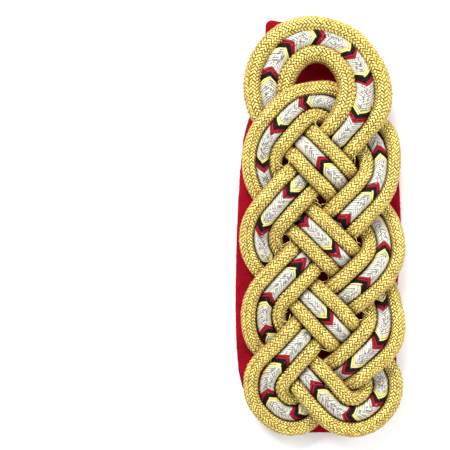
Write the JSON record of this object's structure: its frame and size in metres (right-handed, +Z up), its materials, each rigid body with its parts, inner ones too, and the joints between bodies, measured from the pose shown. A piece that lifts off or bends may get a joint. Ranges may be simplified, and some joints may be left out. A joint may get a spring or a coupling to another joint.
{
  "type": "shoulder board",
  "caption": "Braided dress shoulder board: a flat band of gold and silver cords plaited over a red felt underlay, with a button eye and a felt slip tongue.",
  "frame": {"origin": "on the surface that the board rests on, under the middle of its outline", "axes": "+Y along the board towards the button eye, +X to the right seen from above, +Z up out of the garment"},
  "size_m": [0.0476, 0.1208, 0.012],
  "materials": {
    "gold_cord": "braided metallic thread, gold",
    "silver_cord": "braided metallic thread, silver, with red and black chevrons",
    "red_felt": "pressed wool felt"
  },
  "bodies": {
    "root": {"outer_gold_cord": "gold_cord", "silver_cord": "silver_cord", "inner_gold_cord": "gold_cord", "felt_underlay": "red_felt", "felt_tongue": "red_felt"}
  },
  "joints": []
}
